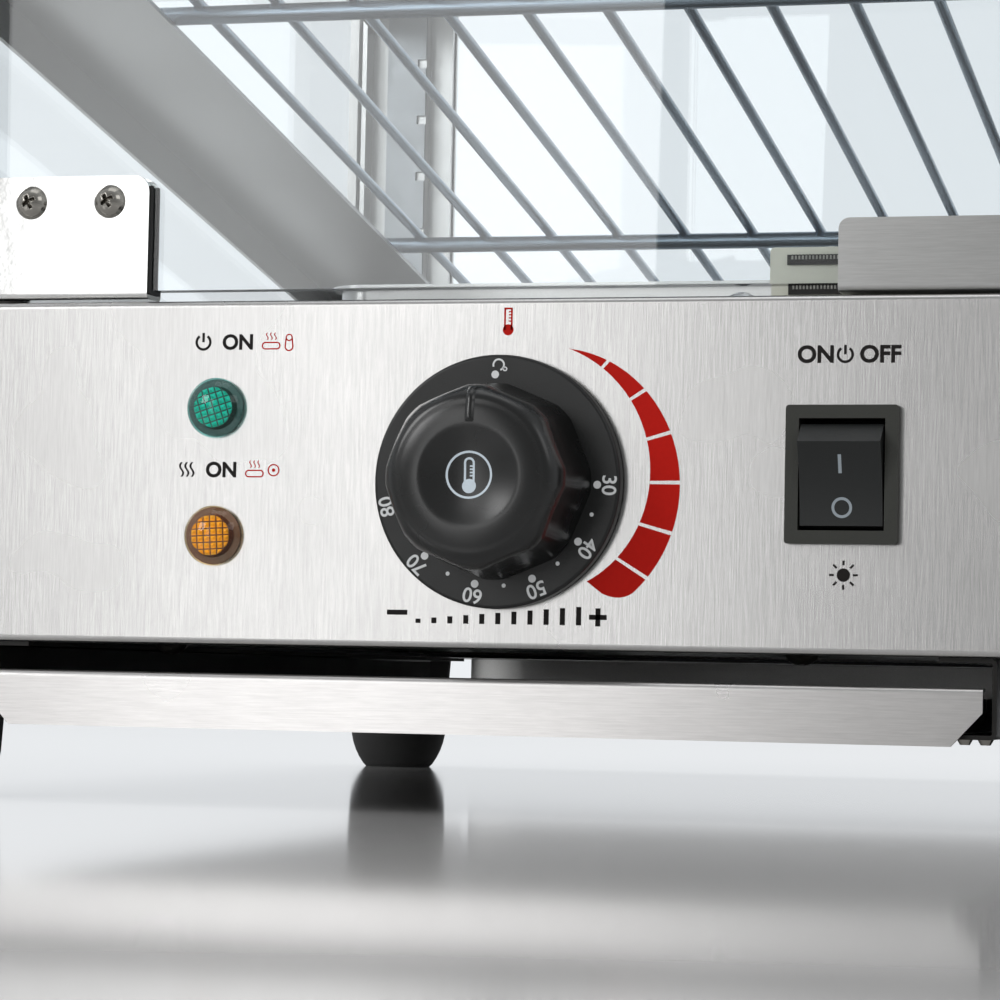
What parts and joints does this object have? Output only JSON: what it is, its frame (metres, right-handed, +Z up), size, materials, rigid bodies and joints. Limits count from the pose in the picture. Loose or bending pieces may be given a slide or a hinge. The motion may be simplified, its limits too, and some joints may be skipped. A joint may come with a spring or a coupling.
{
  "type": "heated display case",
  "caption": "Countertop heated display case with a hinged glass door, sloping wire shelves, dial, rocker switch and crumb tray.",
  "frame": {"origin": "bottom centre of the whole case, on the surface that its feet stand on", "axes": "+Z up; the control panel and the door face -Y; +X is to the right of someone facing them"},
  "size_m": [0.3448, 0.4746, 0.575],
  "materials": {
    "panel_steel": "vertical brushed stainless, satin",
    "case_steel": "brushed stainless sheet",
    "tray_steel": "brushed stainless along the strip",
    "strike_steel": "brushed, darker",
    "post_steel": "brushed along the post",
    "polished_steel": "polished",
    "plated_wire": "bright plated wire",
    "galvanised": "zinc coated sheet",
    "dark_steel": "dark blackened steel",
    "clear_glass": "tempered, faint green edge",
    "lamp_glass": "clear",
    "clear_plastic": "soft clear dome",
    "green_lens": "clear coloured, prismatic inside",
    "amber_lens": "clear coloured, prismatic inside",
    "black_rubber": "matt",
    "black_plastic": "fine grain",
    "rocker_plastic": "semi-gloss",
    "dial_plastic": "satin moulded",
    "catch_plastic": "grey-brown moulding",
    "ceramic": "glazed",
    "element_sheath": "heat-darkened sheath",
    "copper": "drawn tube",
    "brass": "machined"
  },
  "bodies": {
    "cabinet": {"control_panel": "panel_steel", "base_side_left": "case_steel", "base_side_right": "case_steel", "base_back": "case_steel", "bottom_plate": "galvanised", "deck_plate": "case_steel", "posts_front": "post_steel", "posts_rear": "post_steel", "side_glass_left": "clear_glass", "side_glass_right": "clear_glass", "rear_glass": "clear_glass", "glass_seals": "black_rubber", "shelf_standards": "galvanised", "shelf_ledges": "case_steel", "shelf_lower": "plated_wire", "shelf_middle": "plated_wire", "shelf_upper": "plated_wire", "canopy_shell": "case_steel", "canopy_liner": "case_steel", "lamp_lens": "lamp_glass", "lamp_strap": "galvanised", "lamp_holder": "ceramic", "lamp_bulb": "lamp_glass", "heating_element": "element_sheath", "element_hangers": "galvanised", "water_tray": "case_steel", "thermostat_body": "black_plastic", "sensor_bulb": "copper", "lamp_lens_upper": "green_lens", "lamp_lens_lower": "amber_lens", "pilot_bodies": "black_plastic", "pilot_nuts": "black_plastic", "switch_housing": "black_plastic", "spade_terminals": "brass", "pivot_plate_lower": "dark_steel", "pivot_plate_upper": "dark_steel", "catch_housing": "catch_plastic", "catch_poles": "dark_steel", "catch_screws": "polished_steel", "door_bumper": "clear_plastic", "feet": "black_rubber", "base_screws": "polished_steel", "tray_rails": "galvanised", "rail_rivets": "polished_steel", "cord_gland": "black_plastic", "terminal_block": "ceramic", "case_screws": "polished_steel"},
    "door": {"door_glass": "clear_glass", "pivot_clip_lower": "polished_steel", "pivot_clip_upper": "polished_steel", "strike_plate": "strike_steel", "glass_pads": "black_rubber", "clip_screws": "polished_steel", "door_handle": "polished_steel", "handle_washer": "polished_steel"},
    "dial": {"dial_skirt": "dial_plastic", "dial_grip": "dial_plastic", "dial_spindle": "brass"},
    "rocker": {"switch_rocker": "rocker_plastic"},
    "tray": {"crumb_tray": "tray_steel"}
  },
  "joints": [
    {"name": "door_hinge", "type": "hinge", "parent": "cabinet", "child": "door", "pos_m": [-0.124, -0.20385, 0.1186], "axis": [0, 0, -1], "range_deg": [0, 110]},
    {"name": "dial_turn", "type": "hinge", "parent": "cabinet", "child": "dial", "pos_m": [0.008, -0.20975, 0.0762], "axis": [0, -1, 0], "range_deg": [0, 270]},
    {"name": "rocker_tilt", "type": "hinge", "parent": "cabinet", "child": "rocker", "pos_m": [0.0871, -0.20515, 0.0782], "axis": [-1, 0, 0], "range_deg": [0, 28]},
    {"name": "tray_slide", "type": "slide", "parent": "cabinet", "child": "tray", "axis": [0, -1, 0], "range_m": [0, 0.3]}
  ]
}
